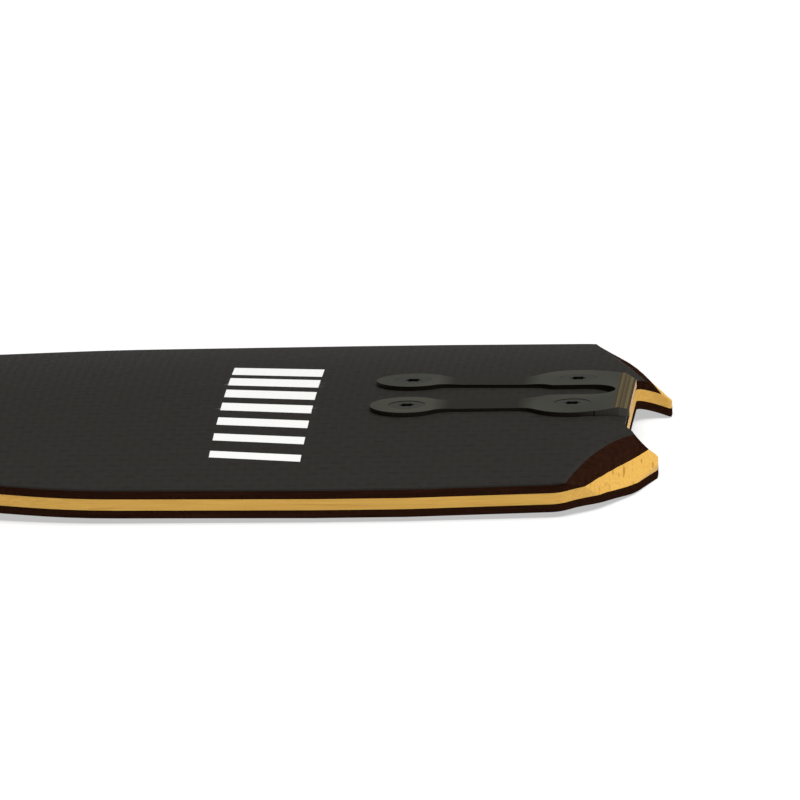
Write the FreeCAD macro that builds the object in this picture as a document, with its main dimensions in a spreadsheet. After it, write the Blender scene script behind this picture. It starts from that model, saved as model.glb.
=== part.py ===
import FreeCAD, Part
import Sketcher
import math
import os

# A laminated wooden board deck with a forked metal bracket at each end.
# Frame: +X along the length, +Z up; the origin is under the middle of the deck,
# on the plane that the four horn tips stand on. All sizes are in millimetres.

SIZES = {
    # outline of the deck, seen from above
    "deck_length": 720.0,          # horn tip to horn tip
    "deck_width": 237.8,           # across the widest place of each lobe
    "widest_setback": 93.0,        # widest place, from the tips
    "widest_run": 30.0,            # length of the parallel stretch there
    "shoulder_setback": 28.5,      # first corner of the lobe before rounding, from the tips
    "shoulder_inset": 3.2,         # that corner, in from the widest place
    "shoulder_radius": 9.0,
    "cheek_setback": 16.7,         # second corner
    "cheek_inset": 14.9,
    "cheek_radius": 30.0,
    "jaw_setback": 6.2,            # third corner
    "jaw_inset": 38.4,
    "jaw_radius": 60.0,
    "flare_setback": 187.0,        # where the lobe turns in to the waist, from the tips
    "flare_inset": 2.9,
    "flare_radius": 120.0,
    "waist_setback": 244.0,
    "waist_inset": 19.1,
    "waist_radius": 150.0,
    "horn_spread": 107.0,          # across the outer edges of a pair of horn tips
    "tip_radius": 1.5,
    "notch_width": 91.4,
    "notch_depth": 11.0,
    "notch_radius": 9.0,
    # section of the deck
    "dome_radius": 1073.0,         # the top is a cylinder about the length
    "kick_setback": 26.0,          # where each end starts to bend down, from the tips
    "kick_radius": 50.0,
    "kick_angle": 20.0,
    "skin_thickness": 0.6,
    "upper_ply": 1.35,
    "core_ply": 1.2,
    "lower_ply": 1.3,
    # bevel across the outer top edge of each horn: three lines on it, each set back from the
    # tips by so much beside the notch, halfway, and at the outer end
    "bevel_inner_margin": 0.3,     # its inner station, out from the notch
    "bevel_outer_margin": 12.2,    # its outer station, in from the lobe's first corner
    "top_line_inner": 9.7,         # its edge on the skin
    "top_line_middle": 19.1,
    "top_line_outer": 25.8,
    "glue_line_inner": 3.1,        # the glue line over the core
    "glue_line_middle": 10.1,
    "glue_line_outer": 19.1,
    "foot_line_inner": -1.2,       # its foot, just outside the outline
    "foot_line_middle": 4.6,
    "foot_line_outer": 16.8,
    "foot_depth": 7.0,             # depth of the foot below the skin's top
    "foot_depth_inner": 4.6,       # the same beside the notch
    "foot_rise_reach": 24.0,       # how far across it rises from one to the other
    # grip sheet on the standing face
    "grip_thickness": 0.8,
    "grip_edge_inset": 4.0,
    "grip_kick_gap": 5.0,          # from the sheet's end to the start of the kick
    "grip_corner_run": 20.0,       # length of its cut corners
    "grip_corner_inset": 16.0,
    # hole pattern and bracket
    "hole_spacing_x": 53.98,
    "hole_spacing_y": 41.28,
    "rear_hole_setback": 29.0,     # outer pair of holes, from the tips
    "plate_thickness": 1.45,       # at the pads
    "arm_dip": 0.4,                # how much thinner the arms are
    "front_dip_start": 8.0,        # where the dip starts, past the inner holes
    "rear_dip_end": 10.0,          # where it ends, short of the outer holes
    "dip_slope_run": 8.0,          # length of the slopes at both ends of it
    "front_pad_radius": 12.0,
    "rear_pad_radius": 14.8,
    "arm_outer_half": 5.4,         # the arm's outer edge, out from the holes
    "arm_inner_half": 6.6,         # the arm's inner edge at the front, in from the holes
    "arm_inner_half_rear": 10.0,   # the same at the rear pad
    "slot_radius": 8.0,
    "slot_end_reach": 13.2,        # end of the slot, past the outer holes
    "web_half_width": 33.6,
    "web_corner_reach": 8.0,       # last full width of the web, past the outer holes
    "fold_reach": 15.5,            # fold line of the bracket's tongue, past the outer holes
    "fold_half_width": 28.5,
    "tongue_reach": 18.85,
    "tongue_half_width": 24.6,
    "tongue_drop": 1.6,
    "neck_fillet": 8.0,
    "bracket_overrun": 4.0,        # spare length of its stock
    # countersunk screw and flanged insert
    "head_radius": 6.0,
    "head_height": 3.0,
    "head_rim": 0.25,              # straight rim of the head above its cone
    "head_inset": 0.3,             # head below the pad, so that it stays flush on the dome
    "shank_radius": 3.0,
    "screw_length": 9.8,
    "tip_chamfer": 0.6,
    "recess_point_radius": 2.85,
    "recess_root_radius": 2.05,
    "recess_depth": 2.2,
    "insert_barrel_radius": 4.25,
    "insert_barrel_length": 4.8,
    "insert_flange_radius": 8.0,
    "insert_flange_thickness": 1.2,
    "fit_clearance": 0.05,         # round each screw and insert
    "shank_clearance": 0.3,
}


class Dim:
    """A number together with the spreadsheet expression that gives it."""

    def __init__(self, value, text):
        self.value = value
        self.text = text

    def _join(self, sign, other, value):
        other_text = other.text if isinstance(other, Dim) else repr(other)
        return Dim(value, "(%s %s %s)" % (self.text, sign, other_text))

    def __add__(self, other):
        return self._join("+", other, self.value + number(other))

    def __sub__(self, other):
        return self._join("-", other, self.value - number(other))

    def __mul__(self, other):
        return self._join("*", other, self.value * number(other))

    def __truediv__(self, other):
        return self._join("/", other, self.value / number(other))

    def __neg__(self):
        return Dim(-self.value, "(-1 * %s)" % self.text)


def number(size):
    return size.value if isinstance(size, Dim) else size


def root(size):
    return Dim(math.sqrt(size.value), "sqrt(%s)" % size.text)


def sine(degrees):
    return Dim(math.sin(math.radians(degrees.value)), "sin(%s * 1deg)" % degrees.text)


def cosine(degrees):
    return Dim(math.cos(math.radians(degrees.value)), "cos(%s * 1deg)" % degrees.text)


doc = FreeCAD.newDocument("kick_deck")
sheet = doc.addObject("Spreadsheet::Sheet", "Sizes")
for row, (alias, amount) in enumerate(SIZES.items(), start=1):
    sheet.set("A%d" % row, alias.replace("_", " "))
    sheet.set("B%d" % row, repr(amount))
    sheet.setAlias("B%d" % row, alias)
doc.recompute()


def size(alias):
    return Dim(float(getattr(sheet, alias)), "Sizes." + alias)


ZERO = Dim(0.0, "0")
EDGE_TOLERANCE = 0.01       # mm, for finding an upright edge
BLANK_OVERRUN = 40.0        # mm, how far upright blanks stand over the deck
STOCK_OVERRUN = 6.0         # mm, how far a layer's stock runs past the tips
DOME_OVERRUN = 12.0         # mm, how far it runs past the widest place
SEAT_OVERRUN = 4.0          # mm, how far a drilling stands over a screw's head
PLAN_FOOT = 12.0            # mm, how far the bracket's upright blank starts under the deck's top
PLAN_HEIGHT = 24.0          # mm
BEVEL_STATIONS = 10
BEVEL_FIRST_SHARE = -0.12   # the bevel's cutter starts inside the notch
BEVEL_LAST_SHARE = 1.3      # and ends outside the outline
BEVEL_LEAD_IN = 0.3
BEVEL_OVERRUN = 8.0         # mm

# ---- derived sizes -------------------------------------------------------------------------
tip_x = size("deck_length") / 2
half_width = size("deck_width") / 2
kick_x = tip_x - size("kick_setback")
outer_hole_x = tip_x - size("rear_hole_setback")
hole_mid_x = outer_hole_x - size("hole_spacing_x") / 2
inner_hole_x = outer_hole_x - size("hole_spacing_x")
hole_y = size("hole_spacing_y") / 2
horn_y = size("horn_spread") / 2
notch_y = size("notch_width") / 2
shoulder_x = tip_x - size("shoulder_setback")
shoulder_y = half_width - size("shoulder_inset")
cheek = (tip_x - size("cheek_setback"), half_width - size("cheek_inset"))
jaw = (tip_x - size("jaw_setback"), half_width - size("jaw_inset"))
skin_bottom = size("skin_thickness")
upper_bottom = skin_bottom + size("upper_ply") * 2
core_bottom = upper_bottom + size("core_ply") * 3
deck_bottom = core_bottom + size("lower_ply") * 2
grip_bottom = deck_bottom + size("grip_thickness")
kick_sine = sine(size("kick_angle"))
kick_cosine = cosine(size("kick_angle"))
kick_slope = kick_sine / kick_cosine


def kick_drop(x, depth):
    """How far a layer's surface on the straight end of the kick lies below the top of the deck."""
    radius = size("kick_radius") - depth
    run = x - kick_x - radius * kick_sine
    return size("kick_radius") - radius * kick_cosine + kick_slope * run


# height of the top of the deck over the plane that the horn tips stand on: on the end face,
# the lowest point of the deck is where the tip's outer rounding starts
tip_lowest_y = horn_y - size("tip_radius")
tip_dome_radius = size("dome_radius") - kick_drop(tip_x, deck_bottom)
deck_top = size("dome_radius") - root(tip_dome_radius * tip_dome_radius - tip_lowest_y * tip_lowest_y)
blank_height = deck_top + BLANK_OVERRUN
sweep_reach = (half_width + DOME_OVERRUN) / size("dome_radius")
dome_sweep = Dim(2 * math.degrees(math.asin(sweep_reach.value)), "(2 * asin(%s))" % sweep_reach.text)
stock_x = tip_x + STOCK_OVERRUN


# ---- helpers for bodies and sketches ---------------------------------------------------------
def bind(item, field, amount):
    item.setExpression(field, amount.text)


def new_body(name):
    return doc.addObject("PartDesign::Body", name)


def plane_of(body, role):
    for feature in body.Origin.OriginFeatures:
        if feature.Role == role:
            return feature
    raise ValueError("no origin plane " + role)


def fixed_sketch(body, name, role, corners, arcs=None):
    """A closed sketch whose every corner is held by the sheet.

    corners: (across, up) Dims in order; arcs: {index of the edge's first corner:
    (radius, centre across, centre up, anticlockwise)} for the edges that are round.
    """
    arcs = arcs or {}
    sketch = body.newObject("Sketcher::SketchObject", name)
    sketch.AttachmentSupport = [(plane_of(body, role), "")]
    sketch.MapMode = "FlatFace"
    add_loop(sketch, corners, arcs)
    return sketch


def add_loop(sketch, corners, arcs):
    Vector = FreeCAD.Vector
    first = sketch.GeometryCount
    count = len(corners)
    points = [Vector(across.value, up.value, 0) for across, up in corners]
    ends = []
    for index in range(count):
        start, end = points[index], points[(index + 1) % count]
        if index in arcs:
            radius, centre_across, centre_up, anticlockwise = arcs[index]
            centre = Vector(centre_across.value, centre_up.value, 0)
            angles = [math.atan2(p.y - centre.y, p.x - centre.x) for p in (start, end)]
            if not anticlockwise:
                angles.reverse()
            circle = Part.Circle(centre, Vector(0, 0, 1), radius.value)
            sketch.addGeometry(Part.ArcOfCircle(circle, angles[0], angles[1]), False)
            ends.append((1, 2) if anticlockwise else (2, 1))
        else:
            sketch.addGeometry(Part.LineSegment(start, end), False)
            ends.append((1, 2))
    for index in range(count):
        after = (index + 1) % count
        sketch.addConstraint(Sketcher.Constraint(
            "Coincident", first + index, ends[index][1], first + after, ends[after][0]))
    for index, (across, up) in enumerate(corners):
        for kind, amount in (("DistanceX", across), ("DistanceY", up)):
            held = sketch.addConstraint(Sketcher.Constraint(
                kind, -1, 1, first + index, ends[index][0], amount.value))
            sketch.setExpression("Constraints[%d]" % held, amount.text)
    for index, (radius, _across, _up, _turn) in arcs.items():
        held = sketch.addConstraint(Sketcher.Constraint("Radius", first + index, radius.value))
        sketch.setExpression("Constraints[%d]" % held, radius.text)


def pad(body, sketch, name, height, both_ways=False):
    feature = body.newObject("PartDesign::Pad", name)
    feature.Profile = sketch
    bind(feature, "Length", height)
    body.Tip = feature
    return feature


def revolve(body, sketch, name, axis, angle=None):
    """Turn a sketch about one of its own axes: a whole turn, or evenly to both sides."""
    feature = body.newObject("PartDesign::Revolution", name)
    feature.Profile = sketch
    feature.ReferenceAxis = (sketch, [axis])
    if angle is None:
        feature.Angle = 360.0
    else:
        feature.Midplane = True
        bind(feature, "Angle", angle)
    body.Tip = feature
    return feature


def round_uprights(body, feature, name, corners, radius):
    """Fillet the upright edges that stand on the given (x, y) corners."""
    doc.recompute()
    edges = []
    for number_of_edge, edge in enumerate(feature.Shape.Edges, start=1):
        box, middle = edge.BoundBox, edge.CenterOfMass
        upright = max(box.XLength, box.YLength) < EDGE_TOLERANCE
        near = any(max(abs(middle.x - x.value), abs(middle.y - y.value)) < EDGE_TOLERANCE for x, y in corners)
        if upright and near:
            edges.append("Edge%d" % number_of_edge)
    if len(edges) != len(corners):
        raise ValueError("%s: %d upright edges for %d corners" % (name, len(edges), len(corners)))
    fillet = body.newObject("PartDesign::Fillet", name)
    fillet.Base = (feature, edges)
    bind(fillet, "Radius", radius)
    body.Tip = fillet
    return fillet


def four_ways(corners):
    return [(x if sx > 0 else -x, y if sy > 0 else -y) for x, y in corners for sx in (1, -1) for sy in (1, -1)]


def all_round(quarter):
    """The closed outline whose first quarter runs from the +X end to the middle of the +Y side."""
    half = quarter + [(-x, y) for x, y in reversed(quarter)]
    return half + [(x, -y) for x, y in reversed(half)]


def boolean(kind, name, base, tool):
    feature = doc.addObject(kind, name)
    feature.Base = base
    feature.Tool = tool
    return feature


def mirrored(source, name, normal, base_x=None):
    feature = doc.addObject("Part::Mirroring", name)
    feature.Source = source
    feature.Normal = FreeCAD.Vector(*normal)
    if base_x is not None:
        bind(feature, "Base.x", base_x)
    return feature


def compound(name, members):
    feature = doc.addObject("Part::Compound", name)
    feature.Links = members
    return feature


# ---- outline of the deck ---------------------------------------------------------------------
def outline_blank():
    body = new_body("OutlineBlank")
    widest_x = tip_x - size("widest_setback")
    half_run = size("widest_run") / 2
    flare = (tip_x - size("flare_setback"), half_width - size("flare_inset"))
    waist = (tip_x - size("waist_setback"), half_width - size("waist_inset"))
    notch = (tip_x - size("notch_depth"), notch_y)
    quarter = [notch, (tip_x, notch_y), (tip_x, horn_y), jaw, cheek, (shoulder_x, shoulder_y),
               (widest_x + half_run, half_width), (widest_x - half_run, half_width), flare, waist]
    sketch = fixed_sketch(body, "OutlineSketch", "XY_Plane", all_round(quarter))
    feature = pad(body, sketch, "OutlinePad", blank_height)
    roundings = (
        ("ShoulderRounding", [(shoulder_x, shoulder_y)], "shoulder_radius"),
        ("CheekRounding", [cheek], "cheek_radius"),
        ("JawRounding", [jaw], "jaw_radius"),
        ("FlareRounding", [flare], "flare_radius"),
        ("WaistRounding", [waist], "waist_radius"),
        ("NotchRounding", [notch], "notch_radius"),
        ("TipRounding", [(tip_x, notch_y), (tip_x, horn_y)], "tip_radius"),
    )
    for name, corners, radius in roundings:
        feature = round_uprights(body, feature, name, four_ways(corners), size(radius))
    return body


def grip_blank():
    body = new_body("GripBlank")
    inset = size("grip_edge_inset")
    end_x = kick_x - size("grip_kick_gap")
    quarter = [
        (end_x, shoulder_y - size("grip_corner_inset")),
        (end_x - size("grip_corner_run"), shoulder_y - inset),
        (tip_x - size("widest_setback"), half_width - inset),
        (tip_x - size("flare_setback"), half_width - size("flare_inset") - inset),
        (tip_x - size("waist_setback"), half_width - size("waist_inset") - inset),
    ]
    sketch = fixed_sketch(body, "GripSketch", "XY_Plane", all_round(quarter))
    pad(body, sketch, "GripPad", blank_height)
    return body


# ---- curved layers: side profiles turned about the dome's axis ---------------------------------
# In these sketches "up" is the distance from the dome's axis, so the sketch's own
# horizontal axis is the axis of the dome.
def dome_sketch(body, name, corners, arcs):
    sketch = fixed_sketch(body, name, "XZ_Plane", corners, arcs)
    bind(sketch, "AttachmentOffset.Base.y", deck_top - size("dome_radius"))
    return sketch


bend_up = size("dome_radius") - size("kick_radius")


def chain(depth):
    """Corners of a layer's surface from its middle to the +X end of the stock."""
    radius = size("kick_radius") - depth
    return [
        (kick_x, size("dome_radius") - depth),
        (kick_x + radius * kick_sine, bend_up + radius * kick_cosine),
        (stock_x, size("dome_radius") - kick_drop(stock_x, depth)),
    ]


def layer_stock(name, top, bottom):
    """Stock of one layer, between two depths below the top of the deck."""
    body = new_body(name)
    upper, lower = chain(top), chain(bottom)
    corners = [(-x, up) for x, up in reversed(upper)] + upper
    corners += list(reversed(lower)) + [(-x, up) for x, up in lower]
    upper_radius = size("kick_radius") - top
    lower_radius = size("kick_radius") - bottom
    arcs = {
        1: (upper_radius, -kick_x, bend_up, False),
        3: (upper_radius, kick_x, bend_up, False),
        7: (lower_radius, kick_x, bend_up, True),
        9: (lower_radius, -kick_x, bend_up, True),
    }
    sketch = dome_sketch(body, name + "Sketch", corners, arcs)
    revolve(body, sketch, name + "Turn", "H_Axis", dome_sweep)
    return body


def surface_height(x, y, depth):
    """Height of the layer surface at a place on the deck, as plain numbers."""
    radius = sheet.kick_radius - depth
    run = x - kick_x.value
    if run <= 0:
        drop = depth
    elif run < radius * kick_sine.value:
        drop = sheet.kick_radius - math.sqrt(radius ** 2 - run ** 2)
    else:
        drop = sheet.kick_radius - radius * kick_cosine.value
        drop += kick_slope.value * (run - radius * kick_sine.value)
    rise = math.sqrt((sheet.dome_radius - drop) ** 2 - y ** 2)
    return deck_top.value - sheet.dome_radius + rise


def through_three(inner, middle, outer, share):
    """A curve through three values, for shares of 0, a half and 1."""
    curve = 2 * (inner + outer) - 4 * middle
    return inner + (outer - inner - curve) * share + curve * share ** 2


def bevel_line(name, share):
    """Place along the board of one of the bevel's lines, as a plain number."""
    inner, middle, outer = (getattr(sheet, "%s_%s" % (name, place)) for place in ("inner", "middle", "outer"))
    return tip_x.value - through_three(inner, middle, outer, share)


def bevel_cutter():
    """The wood that is sanded off one horn: a ruled solid through evenly spaced stations."""
    inner_y = notch_y.value + sheet.bevel_inner_margin
    span = shoulder_y.value - sheet.bevel_outer_margin - inner_y
    clear_x = tip_x.value + BEVEL_OVERRUN
    clear_z = deck_top.value + sheet.plate_thickness + BEVEL_OVERRUN
    rings = []
    for station in range(BEVEL_STATIONS):
        share = BEVEL_FIRST_SHARE + (BEVEL_LAST_SHARE - BEVEL_FIRST_SHARE) * station / (BEVEL_STATIONS - 1)
        y = inner_y + span * share
        rise = min(1.0, max(0.0, (y - inner_y) / sheet.foot_rise_reach))
        foot_depth = sheet.foot_depth_inner + (sheet.foot_depth - sheet.foot_depth_inner) * rise
        knee_x = bevel_line("glue_line", share)
        held = min(share, 1.0)      # past the outer end the foot keeps its distance from the glue line
        foot_x = knee_x + bevel_line("foot_line", held) - bevel_line("glue_line", held)
        stops = ((bevel_line("top_line", share), 0.0), (knee_x, upper_bottom.value), (foot_x, foot_depth))
        upper, knee, lower = [FreeCAD.Vector(x, y, surface_height(x, y, depth)) for x, depth in stops]
        start = upper + (upper - knee) * BEVEL_LEAD_IN
        finish = lower + (lower - knee) * (BEVEL_OVERRUN / (lower.x - knee.x))
        ring = [start, knee, finish, FreeCAD.Vector(clear_x + BEVEL_OVERRUN, y, finish.z),
                FreeCAD.Vector(clear_x + BEVEL_OVERRUN, y, clear_z), FreeCAD.Vector(start.x, y, clear_z)]
        rings.append(Part.makePolygon(ring + [ring[0]]))
    loft = Part.makeLoft(rings, True, True)
    if loft.Volume < 0:
        loft.reverse()
    feature = doc.addObject("Part::Feature", "BevelCutter")
    feature.Shape = loft
    return feature


# ---- screws, inserts and the holes for them ----------------------------------------------------
pad_top = deck_top + size("plate_thickness")
head_top = pad_top - size("head_inset")
insert_face = deck_top - deck_bottom


def place(item, x, y, z):
    bind(item, "Placement.Base.x", x)
    bind(item, "Placement.Base.y", y)
    bind(item, "Placement.Base.z", z)


def turned(name, corners):
    body = new_body(name)
    sketch = fixed_sketch(body, name + "Sketch", "XZ_Plane", corners)
    revolve(body, sketch, name + "Turn", "V_Axis")
    return body


def screw_body():
    """Countersunk screw, its head's top face at the body's own origin."""
    head, shank = size("head_radius"), size("shank_radius")
    rim, height, length = size("head_rim"), size("head_height"), size("screw_length")
    body = turned("Screw", [
        (ZERO, ZERO), (head, ZERO), (head, -rim), (shank, -height),
        (shank, -length + size("tip_chamfer")), (shank - size("tip_chamfer"), -length), (ZERO, -length)])
    star = []
    for step in range(12):
        turn = math.radians(30.0 * step)
        reach = size("recess_root_radius") if step % 2 else size("recess_point_radius")
        star.append((reach * round(math.cos(turn), 9), reach * round(math.sin(turn), 9)))
    sketch = fixed_sketch(body, "RecessSketch", "XY_Plane", star)
    doc.recompute()
    volume = body.Shape.Volume
    pocket = body.newObject("PartDesign::Pocket", "Recess")
    pocket.Profile = sketch
    bind(pocket, "Length", size("recess_depth"))
    body.Tip = pocket
    doc.recompute()
    if body.Shape.Volume > volume - 10.0:
        raise ValueError("the recess cut nothing")
    place(body, outer_hole_x, hole_y, head_top)
    return body


def insert_body():
    """Flanged insert, its flange's face at the body's own origin and its barrel upward."""
    bore = size("shank_radius") + size("fit_clearance")
    flange, barrel = size("insert_flange_radius"), size("insert_barrel_radius")
    thick = size("insert_flange_thickness")
    top = thick + size("insert_barrel_length")
    body = turned("Insert", [
        (bore, ZERO), (flange, ZERO), (flange, thick), (barrel, thick), (barrel, top), (bore, top)])
    place(body, outer_hole_x, hole_y, insert_face)
    return body


def seat_body():
    """What is drilled out of the bracket and the deck for one screw and its insert."""
    gap = size("fit_clearance")
    shank_hole = size("shank_radius") + size("shank_clearance")
    cone = (size("head_height") - size("head_rim")) / (size("head_radius") - size("shank_radius"))
    cone_end = size("head_rim") + cone * (size("head_radius") + gap - shank_hole)
    insert_foot = head_top - insert_face
    flange_top = insert_foot - size("insert_flange_thickness") - gap
    barrel_top = flange_top - size("insert_barrel_length")
    barrel = size("insert_barrel_radius") + gap
    flange = size("insert_flange_radius") + gap
    above = ZERO + SEAT_OVERRUN
    below = insert_foot + SEAT_OVERRUN / 2
    body = turned("Seat", [
        (ZERO, above), (size("head_radius") + gap, above), (size("head_radius") + gap, -size("head_rim")),
        (shank_hole, -cone_end), (shank_hole, -barrel_top), (barrel, -barrel_top),
        (barrel, -flange_top), (flange, -flange_top), (flange, -below), (ZERO, -below)])
    place(body, outer_hole_x, hole_y, head_top)
    return body


def one_bracket_set(source, name):
    """Four copies of a body, one for each hole of a bracket."""
    across = mirrored(source, name + "Across", (0, 1, 0))
    along = mirrored(source, name + "Along", (1, 0, 0), hole_mid_x)
    both = mirrored(across, name + "Both", (1, 0, 0), hole_mid_x)
    return compound(name + "Four", [source, across, along, both])


# ---- the forked bracket --------------------------------------------------------------------------
def bracket_plan():
    """Upright blank with the bracket's outline."""
    foot = deck_top - PLAN_FOOT
    height = ZERO + PLAN_HEIGHT
    discs = []
    for name, x, radius in (("FrontPad", inner_hole_x, "front_pad_radius"),
                            ("RearPad", outer_hole_x, "rear_pad_radius")):
        for side, y in (("Left", hole_y), ("Right", -hole_y)):
            disc = doc.addObject("Part::Cylinder", name + side)
            bind(disc, "Radius", size(radius))
            bind(disc, "Height", height)
            place(disc, x, y, foot)
            discs.append(disc)
    slot_x = outer_hole_x + size("slot_end_reach") - size("slot_radius")
    fork = new_body("Fork")
    side = [
        (outer_hole_x + size("tongue_reach"), size("tongue_half_width")),
        (outer_hole_x + size("fold_reach"), size("fold_half_width")),
        (outer_hole_x + size("web_corner_reach"), size("web_half_width")),
        (outer_hole_x, hole_y + size("arm_outer_half")),
        (inner_hole_x, hole_y + size("arm_outer_half")),
        (inner_hole_x, hole_y - size("arm_inner_half")),
        (outer_hole_x - size("rear_pad_radius") / 2, hole_y - size("arm_inner_half_rear")),
        (slot_x, size("slot_radius")),
    ]
    corners = side + [(x, -y) for x, y in reversed(side)]
    sketch = fixed_sketch(fork, "ForkSketch", "XY_Plane", corners)
    bind(sketch, "AttachmentOffset.Base.z", foot)
    pad(fork, sketch, "ForkPad", height)
    fused = doc.addObject("Part::MultiFuse", "ForkAndPads")
    fused.Shapes = [fork] + discs
    fused.Refine = True
    slot_end = doc.addObject("Part::Cylinder", "SlotEnd")
    bind(slot_end, "Radius", size("slot_radius"))
    bind(slot_end, "Height", height)
    place(slot_end, slot_x, ZERO, foot)
    slot_side = doc.addObject("Part::Box", "SlotSides")
    bind(slot_side, "Length", size("rear_pad_radius") + slot_x - outer_hole_x)
    bind(slot_side, "Width", size("slot_radius") * 2)
    bind(slot_side, "Height", height)
    place(slot_side, outer_hole_x - size("rear_pad_radius"), -size("slot_radius"), foot)
    slot = doc.addObject("Part::MultiFuse", "Slot")
    slot.Shapes = [slot_end, slot_side]
    slot.Refine = True
    plan = boolean("Part::Cut", "BracketPlan", fused, slot)
    plan.Refine = True
    doc.recompute()
    rounded = doc.addObject("Part::Fillet", "BracketPlanRounded")
    rounded.Base = plan
    picked = []
    for number_of_edge, edge in enumerate(plan.Shape.Edges, start=1):
        box, middle = edge.BoundBox, edge.CenterOfMass
        upright = max(box.XLength, box.YLength) < EDGE_TOLERANCE
        on_arm = inner_hole_x.value < middle.x < outer_hole_x.value
        outside_slot = abs(middle.y) > sheet.slot_radius + EDGE_TOLERANCE
        if upright and on_arm and outside_slot:
            picked.append((number_of_edge, sheet.neck_fillet, sheet.neck_fillet))
    print("bracket corners rounded:", len(picked))
    rounded.Edges = picked
    return rounded


def bracket_stock():
    """Stock of the bracket: its underside lies on the deck, and its arms dip between the pads."""
    body = new_body("BracketStock")
    deck, thick = size("dome_radius"), size("plate_thickness")
    start_x = inner_hole_x - size("front_pad_radius") - size("bracket_overrun")
    fold_x = outer_hole_x + size("fold_reach")
    end_x = outer_hole_x + size("tongue_reach")
    dip_start, dip_end = inner_hole_x + size("front_dip_start"), outer_hole_x - size("rear_dip_end")
    slope = size("dip_slope_run")
    run = end_x - kick_x
    end_up = bend_up + root(size("kick_radius") * size("kick_radius") - run * run)
    corners = [
        (kick_x, deck), (start_x, deck), (start_x, deck + thick), (dip_start, deck + thick),
        (dip_start + slope, deck + thick - size("arm_dip")), (dip_end - slope, deck + thick - size("arm_dip")),
        (dip_end, deck + thick), (fold_x, deck + thick),
        (end_x, deck + thick - size("tongue_drop")), (end_x, end_up)]
    arcs = {len(corners) - 1: (size("kick_radius"), kick_x, bend_up, True)}
    sketch = dome_sketch(body, "BracketStockSketch", corners, arcs)
    revolve(body, sketch, "BracketStockTurn", "H_Axis", dome_sweep)
    return body


def bracket(bores):
    whole = boolean("Part::Common", "BracketWhole", bracket_stock(), bracket_plan())
    return boolean("Part::Cut", "TailBracket", whole, bores)


# ---- the assembly ----------------------------------------------------------------------------------
LAYERS = (
    ("top_skin", ZERO, skin_bottom),
    ("upper_face_ply", skin_bottom, skin_bottom + size("upper_ply")),
    ("upper_cross_ply", skin_bottom + size("upper_ply"), upper_bottom),
    ("core_upper_ply", upper_bottom, upper_bottom + size("core_ply")),
    ("core_middle_ply", upper_bottom + size("core_ply"), upper_bottom + size("core_ply") * 2),
    ("core_lower_ply", upper_bottom + size("core_ply") * 2, core_bottom),
    ("lower_cross_ply", core_bottom, core_bottom + size("lower_ply")),
    ("lower_face_ply", core_bottom + size("lower_ply"), deck_bottom),
)

parts = {}
outline = outline_blank()
seats = one_bracket_set(seat_body(), "Seat")
bores = compound("Bores", [seats, mirrored(seats, "SeatNose", (1, 0, 0))])
horn = bevel_cutter()
horn_across = mirrored(horn, "BevelAcross", (0, 1, 0))
bevels = compound("Bevels", [horn, horn_across, mirrored(horn, "BevelNose", (1, 0, 0)),
                             mirrored(horn_across, "BevelNoseAcross", (1, 0, 0))])

for label, top, bottom in LAYERS:
    name = "".join(word.capitalize() for word in label.split("_"))
    stock = layer_stock(name + "Stock", top, bottom)
    sawn = boolean("Part::Common", name + "Sawn", stock, outline)
    sanded = boolean("Part::Cut", name + "Sanded", sawn, bevels)
    parts[label] = boolean("Part::Cut", name, sanded, bores)

grip_stock = layer_stock("GripStock", deck_bottom, grip_bottom)
parts["grip_sheet"] = boolean("Part::Common", "GripSheet", grip_stock, grip_blank())

parts["tail_bracket"] = bracket(seats)
parts["nose_bracket"] = mirrored(parts["tail_bracket"], "NoseBracket", (1, 0, 0))
parts["tail_screws"] = one_bracket_set(screw_body(), "Screw")
parts["nose_screws"] = mirrored(parts["tail_screws"], "NoseScrews", (1, 0, 0))
parts["tail_inserts"] = one_bracket_set(insert_body(), "Insert")
parts["nose_inserts"] = mirrored(parts["tail_inserts"], "NoseInserts", (1, 0, 0))

for label, item in parts.items():
    item.Label = label
doc.recompute()

# ---- checks and export -----------------------------------------------------------------------------
for item in doc.Objects:
    if "Invalid" in item.State or "Error" in item.State:
        raise RuntimeError("%s failed: %s" % (item.Name, item.State))
for label, item in parts.items():
    if item.Shape.isNull() or not item.Shape.isValid():
        raise RuntimeError(label + " has no valid shape")

os.makedirs("parts", exist_ok=True)
for label, item in parts.items():
    item.Shape.exportStep("parts/%s.step" % label)
    box = item.Shape.optimalBoundingBox(False, False)
    print("%-16s solids %d  volume %9.1f  x %.2f..%.2f y %.2f..%.2f z %.2f..%.2f" % (
        label, len(item.Shape.Solids), item.Shape.Volume, box.XMin, box.XMax,
        box.YMin, box.YMax, box.ZMin, box.ZMax))
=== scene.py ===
import logging
import math
from dataclasses import dataclass, field, replace
from enum import Enum

import bpy
from mathutils import Matrix, Vector


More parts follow.
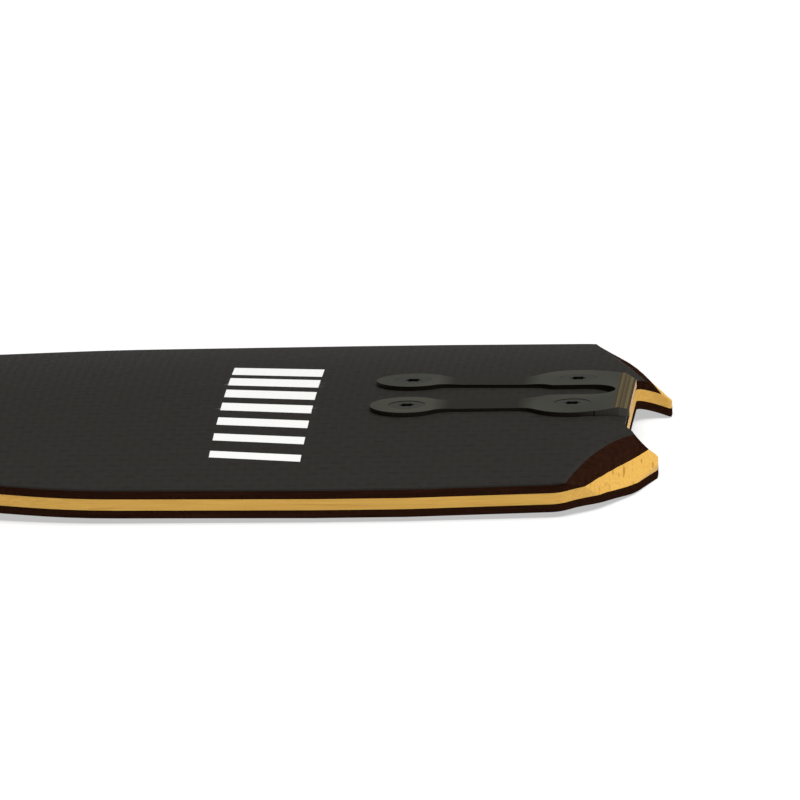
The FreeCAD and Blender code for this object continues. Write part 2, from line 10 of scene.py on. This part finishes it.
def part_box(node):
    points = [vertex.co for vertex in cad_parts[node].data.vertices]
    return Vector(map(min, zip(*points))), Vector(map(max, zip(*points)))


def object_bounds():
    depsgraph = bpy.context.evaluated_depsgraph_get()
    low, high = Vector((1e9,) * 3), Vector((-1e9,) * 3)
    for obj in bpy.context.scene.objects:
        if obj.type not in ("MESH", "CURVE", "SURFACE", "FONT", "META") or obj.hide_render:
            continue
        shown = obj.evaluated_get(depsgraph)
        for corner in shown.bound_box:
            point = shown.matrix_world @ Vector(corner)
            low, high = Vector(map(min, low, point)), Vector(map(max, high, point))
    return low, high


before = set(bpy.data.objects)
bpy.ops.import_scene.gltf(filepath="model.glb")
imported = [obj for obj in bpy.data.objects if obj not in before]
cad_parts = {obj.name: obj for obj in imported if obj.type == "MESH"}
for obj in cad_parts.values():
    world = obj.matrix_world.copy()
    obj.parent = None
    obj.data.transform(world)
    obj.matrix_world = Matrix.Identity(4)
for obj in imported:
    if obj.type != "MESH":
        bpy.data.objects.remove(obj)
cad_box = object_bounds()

log = logging.getLogger("board")

Socket = bpy.types.NodeSocket
Source = Socket | float
Triple = tuple[float, float, float]
Span = tuple[float, float]

MM = 0.001
RISING: Span = (0.0, 1.0)
FALLING: Span = (1.0, 0.0)
MIDDLE: Span = (0.3, 0.7)


class Axis(Enum):
    """The board direction that a veneer's grain runs along."""

    LENGTH = "length"
    WIDTH = "width"


class End(Enum):
    """One of the board's two ends, named as its CAD nodes are."""

    TAIL = "tail"
    NOSE = "nose"


@dataclass(frozen=True)
class Pattern:
    """An uneven pattern, with how fine it is along each axis in spots per millimetre."""

    fineness: Triple
    detail: float = 2.0
    rough: float = 0.5
    twist: float = 0.0

    def turned(self) -> "Pattern":
        """Gives the same pattern with its length and width swapped."""
        x, y, z = self.fineness
        return replace(self, fineness=(y, x, z))


class Recipe:
    """One material, put together from shader nodes a step at a time."""

    def __init__(self, name: str) -> None:
        """Starts a material with a surface shader.

        Args:
            name: What the finish is called.
        """
        self.material = bpy.data.materials.new(name)
        self.material.use_nodes = True
        tree = self.material.node_tree
        self.nodes, self.links = tree.nodes, tree.links
        self.nodes.clear()
        self.shader = self.nodes.new("ShaderNodeBsdfPrincipled")
        output = self.nodes.new("ShaderNodeOutputMaterial")
        self.links.new(self.shader.outputs["BSDF"], output.inputs["Surface"])
        place = self.nodes.new("ShaderNodeTexCoord")
        self.place = self.scaled(place.outputs["Object"], (1 / MM, 1 / MM, 1 / MM))

    def feed(self, socket: Socket, value: Source) -> None:
        """Gives an input a number, or another node's output."""
        if isinstance(value, bpy.types.NodeSocket):
            self.links.new(value, socket)
        else:
            socket.default_value = value

    def scaled(self, vector: Socket, factors: Triple) -> Socket:
        """Stretches a place along each board axis.

        Args:
            vector: The place to stretch.
            factors: What each of its coordinates is multiplied by.

        Returns:
            The stretched place.
        """
        node = self.nodes.new("ShaderNodeVectorMath")
        node.operation = "MULTIPLY"
        self.feed(node.inputs[0], vector)
        node.inputs[1].default_value = factors
        return node.outputs["Vector"]

    def split(self, vector: Socket) -> tuple[Socket, Socket, Socket]:
        """Takes a place apart into its three coordinates."""
        node = self.nodes.new("ShaderNodeSeparateXYZ")
        self.feed(node.inputs[0], vector)
        return node.outputs[0], node.outputs[1], node.outputs[2]

    def facing(self) -> tuple[Socket, Socket, Socket]:
        """Gives the direction that the surface faces, as three parts."""
        node = self.nodes.new("ShaderNodeNewGeometry")
        return self.split(node.outputs["Normal"])

    def sum(self, kind: str, a: Source, b: Source = 0.0) -> Socket:
        """Does one sum on the surface.

        Args:
            kind: The sum, such as ADD, MULTIPLY or SINE.
            a: The first value.
            b: The second value, where the sum has one.

        Returns:
            The answer.
        """
        node = self.nodes.new("ShaderNodeMath")
        node.operation = kind
        self.feed(node.inputs[0], a)
        self.feed(node.inputs[1], b)
        return node.outputs[0]

    def weigh(self, first: Socket, second: Socket, share: float) -> Socket:
        """Adds two values in shares that make a whole.

        Args:
            first: The value that the share is taken of.
            second: The value that makes up the rest.
            share: How much of the first one counts.

        Returns:
            The weighed value.
        """
        rest = self.sum("MULTIPLY", second, 1.0 - share)
        return self.sum("ADD", self.sum("MULTIPLY", first, share), rest)

    def ease(self, value: Source, span: Span, answer: Span = RISING) -> Socket:
        """Turns one range of a value into another, with nothing past its ends.

        Args:
            value: The value to turn.
            span: Where it begins to change, and where it stops.
            answer: What comes out at each end of the span.

        Returns:
            The new value.
        """
        node = self.nodes.new("ShaderNodeMapRange")
        node.clamp = True
        self.feed(node.inputs["Value"], value)
        names = ("From Min", "From Max", "To Min", "To Max")
        for name, number in zip(names, (*span, *answer)):
            node.inputs[name].default_value = number
        return node.outputs["Result"]

    def wave(self, value: Socket, pitch: float) -> Socket:
        """Gives an even wave from -1 to 1 along a value.

        Args:
            value: What the wave runs along.
            pitch: The length of one wave.

        Returns:
            The wave's height.
        """
        return self.sum("SINE", self.sum("MULTIPLY", value, 2 * math.pi / pitch))

    def cloud(self, pattern: Pattern) -> Socket:
        """Gives an uneven pattern, from about 0 to 1.

        Args:
            pattern: How fine and how broken it is.

        Returns:
            The pattern's strength.
        """
        node = self.nodes.new("ShaderNodeTexNoise")
        self.feed(node.inputs["Vector"], self.scaled(self.place, pattern.fineness))
        numbers = (1.0, pattern.detail, pattern.rough, pattern.twist)
        for name, number in zip(("Scale", "Detail", "Roughness", "Distortion"), numbers):
            node.inputs[name].default_value = number
        return node.outputs["Fac"]

    def stripes(self, value: Socket, scale: float) -> Socket:
        """Gives uneven stripes along one value.

        Args:
            value: What the stripes follow each other along.
            scale: How many there are to the millimetre.

        Returns:
            The stripes' strength.
        """
        node = self.nodes.new("ShaderNodeTexNoise")
        node.noise_dimensions = "1D"
        self.feed(node.inputs["W"], value)
        node.inputs["Scale"].default_value = scale
        node.inputs["Detail"].default_value = 1.0
        return node.outputs["Fac"]

    def cells(self, scale: float) -> Socket:
        """Gives open cells, as the distance from the nearest cell's middle.

        Args:
            scale: How many there are to the millimetre.

        Returns:
            The distance.
        """
        node = self.nodes.new("ShaderNodeTexVoronoi")
        self.feed(node.inputs["Vector"], self.place)
        node.inputs["Scale"].default_value = scale
        return node.outputs["Distance"]

    def blend(self, share: Source, first: Socket | Triple, second: Socket | Triple) -> Socket:
        """Mixes two colours.

        Args:
            share: How much of the second one shows.
            first: The colour where the share is 0.
            second: The colour where the share is 1.

        Returns:
            The mixed colour.
        """
        node = self.nodes.new("ShaderNodeMix")
        node.data_type = "RGBA"
        self.feed(node.inputs["Factor"], share)
        for name, colour in (("A", first), ("B", second)):
            socket = next(i for i in node.inputs if i.name == name and i.type == "RGBA")
            wired = isinstance(colour, bpy.types.NodeSocket)
            self.feed(socket, colour if wired else (*colour, 1.0))
        return next(o for o in node.outputs if o.type == "RGBA")

    def relief(self, height: Socket, depth: float, strength: float) -> None:
        """Raises the surface's shading by a pattern.

        Args:
            height: The pattern.
            depth: What a height of 1 stands for, in millimetres.
            strength: How much of it shows.
        """
        node = self.nodes.new("ShaderNodeBump")
        node.inputs["Strength"].default_value = strength
        node.inputs["Distance"].default_value = depth * MM
        self.feed(node.inputs["Height"], height)
        self.feed(self.shader.inputs["Normal"], node.outputs["Normal"])

    def finish(self, colour: Socket, rough: Source, **constants: float) -> bpy.types.Material:
        """Wires the colour and the sheen, and sets what is the same all over.

        Args:
            colour: The surface's colour.
            rough: Its roughness.
            **constants: Shader inputs by name, with spaces as underscores.

        Returns:
            The finished material.
        """
        self.feed(self.shader.inputs["Base Color"], colour)
        self.feed(self.shader.inputs["Roughness"], rough)
        for name, value in constants.items():
            self.shader.inputs[name.replace("_", " ")].default_value = value
        return self.material


@dataclass(frozen=True)
class PrintedBars:
    """A block of plain slanted bars, printed across the deck near the tail."""

    centre_x: float = 231.0
    half_height: float = 15.0
    first_y: float = -85.0
    last_y: float = 62.0
    pitch: float = 21.0
    duty_first: float = 0.38
    duty_last: float = 0.74
    lean: float = 0.22

    def mask(self, recipe: Recipe) -> Socket:
        """Finds where the print lies.

        Args:
            recipe: The material that the print is part of.

        Returns:
            1 on the print and 0 off it.
        """
        x, y, _ = recipe.split(recipe.place)
        from_centre = recipe.sum("SUBTRACT", x, self.centre_x)
        slanted = recipe.sum("ADD", y, recipe.sum("MULTIPLY", from_centre, self.lean))
        along = recipe.sum("SUBTRACT", slanted, self.first_y)
        phase = recipe.sum("FRACT", recipe.sum("DIVIDE", along, self.pitch))
        step = recipe.sum("FLOOR", recipe.sum("DIVIDE", along, self.pitch))
        bars = (self.last_y - self.first_y) / self.pitch
        duty = recipe.ease(step, (0.0, bars - 1.0), (self.duty_first, self.duty_last))
        inside = recipe.sum("LESS_THAN", phase, duty)
        near = recipe.sum("LESS_THAN", recipe.sum("ABSOLUTE", from_centre), self.half_height)
        after = recipe.sum("GREATER_THAN", along, 0.0)
        before = recipe.sum("LESS_THAN", along, self.last_y - self.first_y)
        block = recipe.sum("MULTIPLY", recipe.sum("MULTIPLY", near, after), before)
        return recipe.sum("MULTIPLY", inside, block)


@dataclass(frozen=True)
class WovenSkin:
    """The charcoal top skin, with faint ribs across it that grow lighter toward the far side as a
    painted sheen, and rows of staggered stitches.
    """

    dark: Triple = (0.0085, 0.0074, 0.0050)
    light: Triple = (0.0150, 0.0133, 0.0098)
    stitch: Triple = (0.0035, 0.0028, 0.0018)
    ink: Triple = (0.86, 0.86, 0.84)
    bars: PrintedBars = PrintedBars()
    cell: float = 6.6
    row: float = 6.2
    row_shift: float = 0.5
    stitch_length: Span = (0.20, 0.34)
    stitch_width: Span = (0.06, 0.24)
    patches: Pattern = Pattern((0.12, 0.12, 0.12))
    patch_span: Span = (0.35, 0.65)
    stitch_strength: Span = (0.15, 0.75)
    rib: float = 2.9
    # Painted sheen: the ribs grow stronger toward the far side, which lightens the skin there.
    rib_sheen_reach: Span = (-40.0, 110.0)
    rib_sheen_strength: Span = (0.25, 1.0)
    rib_share: float = 0.55
    weave: Pattern = Pattern((0.25, 0.9, 1.0), detail=3.0, rough=0.6)
    tone_span: Span = (0.1, 0.85)
    wear: Pattern = Pattern((1.5, 1.5, 1.5), detail=4.0, rough=0.7)
    wear_span: Span = (0.25, 0.33)
    depth: float = 0.05
    depth_shown: float = 0.6
    roughness: Span = (0.50, 0.60)
    specular: float = 0.26

    def stitches(self, recipe: Recipe, x: Socket, y: Socket) -> Socket:
        """Finds the short stitches, every other row set half a step along.

        Args:
            recipe: The skin's material.
            x: The place along the board, in millimetres.
            y: The place across it.

        Returns:
            1 in the middle of a stitch and 0 off it.
        """
        rows = recipe.sum("DIVIDE", y, self.row)
        odd = recipe.sum("FLOORED_MODULO", recipe.sum("FLOOR", rows), 2.0)
        shift = recipe.sum("MULTIPLY", odd, self.row_shift)
        steps = recipe.sum("ADD", recipe.sum("DIVIDE", x, self.cell), shift)
        from_middle = [
            recipe.sum("ABSOLUTE", recipe.sum("SUBTRACT", recipe.sum("FRACT", value), 0.5))
            for value in (steps, rows)
        ]
        along = recipe.ease(from_middle[0], self.stitch_length, FALLING)
        across = recipe.ease(from_middle[1], self.stitch_width, FALLING)
        return recipe.sum("MULTIPLY", along, across)

    def material(self) -> bpy.types.Material:
        """Makes the skin's material, with its print."""
        recipe = Recipe("textured_skin")
        x, y, _ = recipe.split(recipe.place)
        stitch = self.stitches(recipe, x, y)
        kept = recipe.ease(recipe.cloud(self.patches), self.patch_span, self.stitch_strength)
        shown = recipe.sum("MULTIPLY", stitch, kept)
        rib = recipe.ease(recipe.wave(x, self.rib), (-1.0, 1.0))
        # Painted sheen: the ribs' strength rises toward the far side, so the skin is lighter
        # there.
        strength = recipe.ease(y, self.rib_sheen_reach, self.rib_sheen_strength)
        ribs_with_sheen = recipe.sum("MULTIPLY", rib, strength)
        weave = recipe.cloud(self.weave)
        tone = recipe.weigh(ribs_with_sheen, weave, self.rib_share)
        cloth = recipe.blend(recipe.ease(tone, self.tone_span), self.dark, self.light)
        cloth = recipe.blend(shown, cloth, self.stitch)
        worn = recipe.ease(recipe.cloud(self.wear), self.wear_span)
        inked = recipe.sum("MULTIPLY", self.bars.mask(recipe), worn)
        colour = recipe.blend(inked, cloth, self.ink)
        recipe.relief(recipe.sum("SUBTRACT", ribs_with_sheen, shown), self.depth, self.depth_shown)
        sheen = recipe.ease(weave, MIDDLE, self.roughness)
        return recipe.finish(colour, sheen, Specular_IOR_Level=self.specular)


@dataclass(frozen=True)
class StainedVeneer:
    """Near-black brown veneer, with its grain along one board axis."""

    grain: Axis
    dark: Triple = (0.0120, 0.0046, 0.0026)
    light: Triple = (0.0290, 0.0108, 0.0056)
    streak: Triple = (0.0500, 0.0170, 0.0080)
    fibre: Pattern = Pattern((0.035, 1.1, 1.6), detail=5.0, rough=0.6, twist=0.4)
    figure_along: float = 0.8
    figure_across: float = 0.25
    figure_through: float = 0.5
    fibre_share: float = 0.6
    tone_span: Span = (0.32, 0.68)
    streak_span: Span = (0.60, 0.78)
    streak_strength: Span = (0.0, 0.5)
    depth: float = 0.08
    depth_shown: float = 0.35
    roughness: Span = (0.60, 0.72)
    specular: float = 0.0

    def material(self) -> bpy.types.Material:
        """Makes the veneer's material."""
        recipe = Recipe(f"dark_veneer_{self.grain.value}")
        laid = self.fibre if self.grain is Axis.LENGTH else self.fibre.turned()
        x, y, _ = laid.fineness
        broad = (x * self.figure_along, y * self.figure_across, self.figure_through)
        fibre = recipe.cloud(laid)
        figure = recipe.cloud(Pattern(broad))
        tone = recipe.weigh(fibre, figure, self.fibre_share)
        colour = recipe.blend(recipe.ease(tone, self.tone_span), self.dark, self.light)
        streaks = recipe.ease(fibre, self.streak_span, self.streak_strength)
        colour = recipe.blend(streaks, colour, self.streak)
        recipe.relief(fibre, self.depth, self.depth_shown)
        sheen = recipe.ease(fibre, MIDDLE, self.roughness)
        return recipe.finish(colour, sheen, Specular_IOR_Level=self.specular)


@dataclass(frozen=True)
class PaleCore:
    """Honey-yellow core wood, sanded and oiled, with its grain along the board."""

    light: Triple = (0.80, 0.475, 0.098)
    dark: Triple = (0.66, 0.360, 0.068)
    fleck: Triple = (0.42, 0.190, 0.030)
    fibre: Pattern = Pattern((0.03, 0.9, 1.3), detail=5.0, rough=0.62, twist=0.5)
    fibre_span: Span = (0.30, 0.70)
    pores: Pattern = Pattern((1.5, 0.11, 0.12), detail=1.0)
    pore_span: Span = (0.63, 0.68)
    pore_strength: float = 0.8
    veins: Pattern = Pattern((0.02, 0.5, 2.4), detail=3.0, twist=0.8)
    vein_span: Span = (0.60, 0.72)
    vein_strength: float = 0.45
    upward_span: Span = (0.25, 0.6)
    depth: float = 0.06
    depth_shown: float = 0.3
    roughness: Span = (0.45, 0.58)
    specular: float = 0.2

    def material(self) -> bpy.types.Material:
        """Makes the core wood's material."""
        recipe = Recipe(f"light_core_{Axis.LENGTH.value}")
        fibre = recipe.cloud(self.fibre)
        colour = recipe.blend(recipe.ease(fibre, self.fibre_span), self.light, self.dark)
        upward = recipe.ease(recipe.facing()[2], self.upward_span)
        pores = recipe.ease(recipe.cloud(self.pores), self.pore_span)
        flecks = recipe.sum("MULTIPLY", pores, upward)
        flecks = recipe.sum("MULTIPLY", flecks, self.pore_strength)
        colour = recipe.blend(flecks, colour, self.fleck)
        side = recipe.sum("SUBTRACT", 1.0, upward)
        lines = recipe.ease(recipe.cloud(self.veins), self.vein_span)
        veins = recipe.sum("MULTIPLY", lines, side)
        veins = recipe.sum("MULTIPLY", veins, self.vein_strength)
        colour = recipe.blend(veins, colour, self.fleck)
        recipe.relief(fibre, self.depth, self.depth_shown)
        sheen = recipe.ease(fibre, MIDDLE, self.roughness)
        return recipe.finish(colour, sheen, Specular_IOR_Level=self.specular)


@dataclass(frozen=True)
class SatinBracket:
    """Dark satin metal, with painted shade on its arms and side faces, and painted reflections of
    the yellow core wood in stripes at the fold and on its end face.
    """

    dark: Triple = (0.041, 0.041, 0.031)
    light: Triple = (0.070, 0.069, 0.051)
    # Painted shade, on the arms and on the side faces.
    arm_shade: Triple = (0.010, 0.009, 0.003)
    side_shade: Triple = (0.010, 0.0075, 0.0022)
    # Painted reflections of the yellow core wood, on the end face and in the stripes at the fold.
    lip_reflection: Triple = (0.62, 0.30, 0.045)
    warm: Triple = (0.140, 0.112, 0.046)
    brown_reflection: Triple = (0.060, 0.036, 0.009)
    brush: Pattern = Pattern((0.15, 6.0, 2.0), detail=3.0, rough=0.6)
    patches: Pattern = Pattern((0.03, 0.03, 0.03), detail=1.0)
    brush_share: float = 0.35
    tone_span: Span = (0.35, 0.65)
    arm_shade_span: Span = (285.0, 319.0)
    arm_shade_fade: float = 6.0
    reflection_band_start: float = 344.6
    reflection_fade: float = 0.5
    reflection_stripe_scale: float = 1.1
    reflection_stripe_span: Span = (0.40, 0.60)
    side_shade_span: Span = (0.3, 0.7)
    end_face_span: Span = (0.75, 0.9)
    lip_reflection_start: float = 349.0
    depth: float = 0.02
    depth_shown: float = 0.25
    roughness: Span = (0.36, 0.46)
    metallic: float = 0.35

    def material(self) -> bpy.types.Material:
        """Makes the bracket's material."""
        recipe = Recipe("bracket_metal")
        x, _, _ = recipe.split(recipe.place)
        along = recipe.sum("ABSOLUTE", x)
        brush = recipe.cloud(self.brush)
        tone = recipe.weigh(brush, recipe.cloud(self.patches), self.brush_share)
        colour = recipe.blend(recipe.ease(tone, self.tone_span), self.dark, self.light)
        # Painted shade: the arms between the pads are darkened.
        start, end = self.arm_shade_span
        after = recipe.ease(along, (start, start + self.arm_shade_fade))
        before = recipe.ease(along, (end - self.arm_shade_fade, end), FALLING)
        colour = recipe.blend(recipe.sum("MULTIPLY", after, before), colour, self.arm_shade)
        # Painted reflection: warm and brown stripes across the fold, standing for the yellow core
        # wood mirrored in the metal.
        reflection_stripe_mask = recipe.ease(recipe.stripes(along, self.reflection_stripe_scale), self.reflection_stripe_span)
        stripes = recipe.blend(reflection_stripe_mask, self.brown_reflection, self.warm)
        reflection_band = recipe.ease(along, (self.reflection_band_start, self.reflection_band_start + self.reflection_fade))
        colour = recipe.blend(reflection_band, colour, stripes)
        # Painted shade: faces that turn away from straight up are darkened toward a dark olive.
        side = recipe.ease(recipe.facing()[2], self.side_shade_span, FALLING)
        colour = recipe.blend(side, colour, self.side_shade)
        # Painted reflection: the end face past the fold gets the yellow core wood's orange.
        end_face = recipe.ease(recipe.sum("ABSOLUTE", recipe.facing()[0]), self.end_face_span)
        at_end = recipe.ease(along, (self.lip_reflection_start, self.lip_reflection_start + self.reflection_fade))
        colour = recipe.blend(recipe.sum("MULTIPLY", end_face, at_end), colour, self.lip_reflection)
        recipe.relief(brush, self.depth, self.depth_shown)
        sheen = recipe.ease(brush, MIDDLE, self.roughness)
        return recipe.finish(colour, sheen, Metallic=self.metallic)


@dataclass(frozen=True)
class BlackedScrew:
    """Screw steel, near black, which in the star recess also stands for painted shade, with the
    head's flat top given the bracket's grey.
    """

    # The near black also stands for painted shade in the star recess.
    dark: Triple = (0.008, 0.008, 0.007)
    head_top_grey: Triple = (0.046, 0.046, 0.037)
    top_depth: float = 0.4
    upward_span: Span = (0.7, 0.98)
    wear: Pattern = Pattern((1.2, 1.2, 1.2), detail=3.0, rough=0.6)
    wear_span: Span = (0.2, 0.6)
    wear_strength: Span = (0.85, 1.0)
    depth: float = 0.02
    depth_shown: float = 0.2
    roughness: Span = (0.36, 0.46)
    metallic: float = 0.35

    def material(self) -> bpy.types.Material:
        """Makes the screws' material."""
        recipe = Recipe("screw_black")
        head_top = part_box(f"{End.TAIL.value}_screws")[1].z / MM
        wear = recipe.cloud(self.wear)
        # Only the head's flat top gets the grey; the star recess stays near black as painted
        # shade.
        upward = recipe.ease(recipe.facing()[2], self.upward_span)
        _, _, height = recipe.split(recipe.place)
        top = (head_top - self.top_depth, head_top - self.top_depth / 2)
        flat = recipe.sum("MULTIPLY", upward, recipe.ease(height, top))
        shown = recipe.sum("MULTIPLY", flat, recipe.ease(wear, self.wear_span, self.wear_strength))
        colour = recipe.blend(shown, self.dark, self.head_top_grey)
        recipe.relief(wear, self.depth, self.depth_shown)
        sheen = recipe.ease(wear, MIDDLE, self.roughness)
        return recipe.finish(colour, sheen, Metallic=self.metallic)


@dataclass(frozen=True)
class ZincPlate:
    """Bright zinc on the threaded inserts."""

    cool: Triple = (0.52, 0.54, 0.57)
    warm: Triple = (0.62, 0.58, 0.46)
    stain: Pattern = Pattern((0.5, 0.5, 0.5), detail=3.0, rough=0.6)
    stain_span: Span = (0.35, 0.65)
    depth: float = 0.02
    depth_shown: float = 0.2
    roughness: Span = (0.26, 0.4)
    metallic: float = 1.0

    def material(self) -> bpy.types.Material:
        """Makes the inserts' material."""
        recipe = Recipe("insert_steel")
        stain = recipe.cloud(self.stain)
        colour = recipe.blend(recipe.ease(stain, self.stain_span), self.cool, self.warm)
        recipe.relief(stain, self.depth, self.depth_shown)
        sheen = recipe.ease(stain, MIDDLE, self.roughness)
        return recipe.finish(colour, sheen, Metallic=self.metallic)


@dataclass(frozen=True)
class GripFoam:
    """Matt black foam sheet with fine open cells."""

    dark: Triple = (0.010, 0.009, 0.009)
    light: Triple = (0.032, 0.026, 0.024)
    cell: float = 1.1
    tone_span: Span = (0.1, 0.7)
    depth: float = 0.12
    depth_shown: float = 0.5
    sheen_span: Span = (0.0, 0.8)
    roughness: Span = (0.72, 0.88)

    def material(self) -> bpy.types.Material:
        """Makes the grip sheet's material."""
        recipe = Recipe("grip_foam")
        cells = recipe.cells(self.cell)
        colour = recipe.blend(recipe.ease(cells, self.tone_span), self.dark, self.light)
        recipe.relief(cells, self.depth, self.depth_shown)
        return recipe.finish(colour, recipe.ease(cells, self.sheen_span, self.roughness))


def dress(node: str, finish: bpy.types.Material) -> None:
    """Gives one CAD piece its finish.

    Args:
        node: The piece's name.
        finish: The material it takes.
    """
    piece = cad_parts[node]
    piece.data.materials.clear()
    piece.data.materials.append(finish)
    low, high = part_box(node)
    size = " x ".join(f"{(b - a) / MM:.1f}" for a, b in zip(low, high))
    log.info("%s: %s, %s mm", node, finish.name, size)


@dataclass
class Deck:
    """The laminated deck: skin, dark veneers, pale core and the grip sheet under it."""

    skin: str = "top_skin"
    veneers: dict[str, Axis] = field(default_factory=lambda: {
        "upper_face_ply": Axis.LENGTH,
        "upper_cross_ply": Axis.WIDTH,
        "lower_cross_ply": Axis.WIDTH,
        "lower_face_ply": Axis.LENGTH,
    })
    cores: tuple[str, ...] = ("core_upper_ply", "core_middle_ply", "core_lower_ply")
    grip: str = "grip_sheet"

    def build(self) -> None:
        """Dresses every layer of the deck."""
        dress(self.skin, WovenSkin().material())
        dark = {axis: StainedVeneer(axis).material() for axis in Axis}
        pale = PaleCore().material()
        for node, axis in self.veneers.items():
            dress(node, dark[axis])
        for node in self.cores:
            dress(node, pale)
        dress(self.grip, GripFoam().material())


@dataclass
class BracketSets:
    """The forked bracket at each end, with its screws and inserts."""

    ends: tuple[End, ...] = tuple(End)

    def build(self) -> None:
        """Dresses the brackets, the screws and the inserts of both ends."""
        metal = SatinBracket().material()
        screw = BlackedScrew().material()
        zinc = ZincPlate().material()
        for end in self.ends:
            dress(f"{end.value}_bracket", metal)
            dress(f"{end.value}_screws", screw)
            dress(f"{end.value}_inserts", zinc)


@dataclass
class Studio:
    """A plain pale floor, glowing a little like a light table, under one large soft light."""

    floor_half: float = 40.0
    floor_colour: Triple = (0.46, 0.46, 0.46)
    floor_shade: float = 0.99
    floor_grain: Pattern = Pattern((0.01, 0.01, 0.01), detail=1.0)
    floor_roughness: float = 0.9
    floor_specular: float = 0.0
    floor_glow: float = 0.50
    key_strength: float = 3.6
    key_spread: float = 70.0
    key_height: float = 74.0
    key_bearing: float = 75.0
    fill_colour: Triple = (1.0, 1.0, 1.0)
    fill_strength: float = 0.10

    def build(self) -> None:
        """Lays the floor and sets the lights."""
        mesh = bpy.data.meshes.new("floor")
        h = self.floor_half
        mesh.from_pydata([(-h, -h, 0), (h, -h, 0), (h, h, 0), (-h, h, 0)], [], [(0, 1, 2, 3)])
        floor = bpy.data.objects.new("floor", mesh)
        bpy.context.scene.collection.objects.link(floor)
        recipe = Recipe("floor_paper")
        low = tuple(self.floor_shade * c for c in self.floor_colour)
        tone = recipe.blend(recipe.cloud(self.floor_grain), low, self.floor_colour)
        mesh.materials.append(recipe.finish(
            tone,
            self.floor_roughness,
            Specular_IOR_Level=self.floor_specular,
            Emission_Strength=self.floor_glow,
        ))

        key = bpy.data.objects.new("key_light", bpy.data.lights.new("key_light", "SUN"))
        key.data.energy = self.key_strength
        key.data.angle = math.radians(self.key_spread)
        bearing, height = math.radians(self.key_bearing), math.radians(self.key_height)
        towards = Vector((
            math.sin(bearing) * math.cos(height),
            -math.cos(bearing) * math.cos(height),
            math.sin(height),
        ))
        key.rotation_mode = "QUATERNION"
        key.rotation_quaternion = towards.to_track_quat("Z", "Y")
        bpy.context.scene.collection.objects.link(key)

        world = bpy.data.worlds.new("fill")
        world.use_nodes = True
        back = world.node_tree.nodes["Background"]
        back.inputs["Color"].default_value = (*self.fill_colour, 1.0)
        back.inputs["Strength"].default_value = self.fill_strength
        bpy.context.scene.world = world
        bpy.context.scene.view_settings.view_transform = "Standard"
        log.info("studio: floor and lights")


@dataclass
class ProductCamera:
    """A long lens, low over the near edge of the tail end."""

    azimuth: float = 3.39
    elevation: float = 11.23
    roll: float = 1.42
    distance: float = 9.43
    lens: float = 1300.0
    clip: Span = (1.0, 200.0)
    aim_from_tail: float = 86.11
    aim_y: float = -3.72
    aim_below_top: float = 2.01

    def build(self) -> None:
        """Places the camera and makes it the scene's own."""
        a, e, roll = (math.radians(v) for v in (self.azimuth, self.elevation, self.roll))
        back = Vector((math.sin(a) * math.cos(e), -math.cos(a) * math.cos(e), math.sin(e)))
        level = Vector((math.cos(a), math.sin(a), 0.0))
        rise = back.cross(level)
        right = level * math.cos(roll) - rise * math.sin(roll)
        up = level * math.sin(roll) + rise * math.cos(roll)
        corner = cad_box[1]
        aim = Vector((
            corner.x - self.aim_from_tail * MM,
            self.aim_y * MM,
            corner.z - self.aim_below_top * MM,
        ))
        lens = bpy.data.cameras.new("product_camera")
        lens.lens = self.lens
        lens.clip_start, lens.clip_end = self.clip
        camera = bpy.data.objects.new("product_camera", lens)
        turned = Matrix((right, up, back)).transposed().to_4x4()
        camera.matrix_world = Matrix.Translation(aim + back * self.distance) @ turned
        bpy.context.scene.collection.objects.link(camera)
        bpy.context.scene.camera = camera
        log.info("camera: %.0f mm lens, %.2f m away", self.lens, self.distance)


def main() -> None:
    """Builds the camera, the studio and the board."""
    logging.basicConfig(level=logging.INFO, format="%(message)s")
    ProductCamera().build()
    Studio().build()
    Deck().build()
    BracketSets().build()
    bpy.context.view_layer.update()


if __name__ == "__main__":
    main()
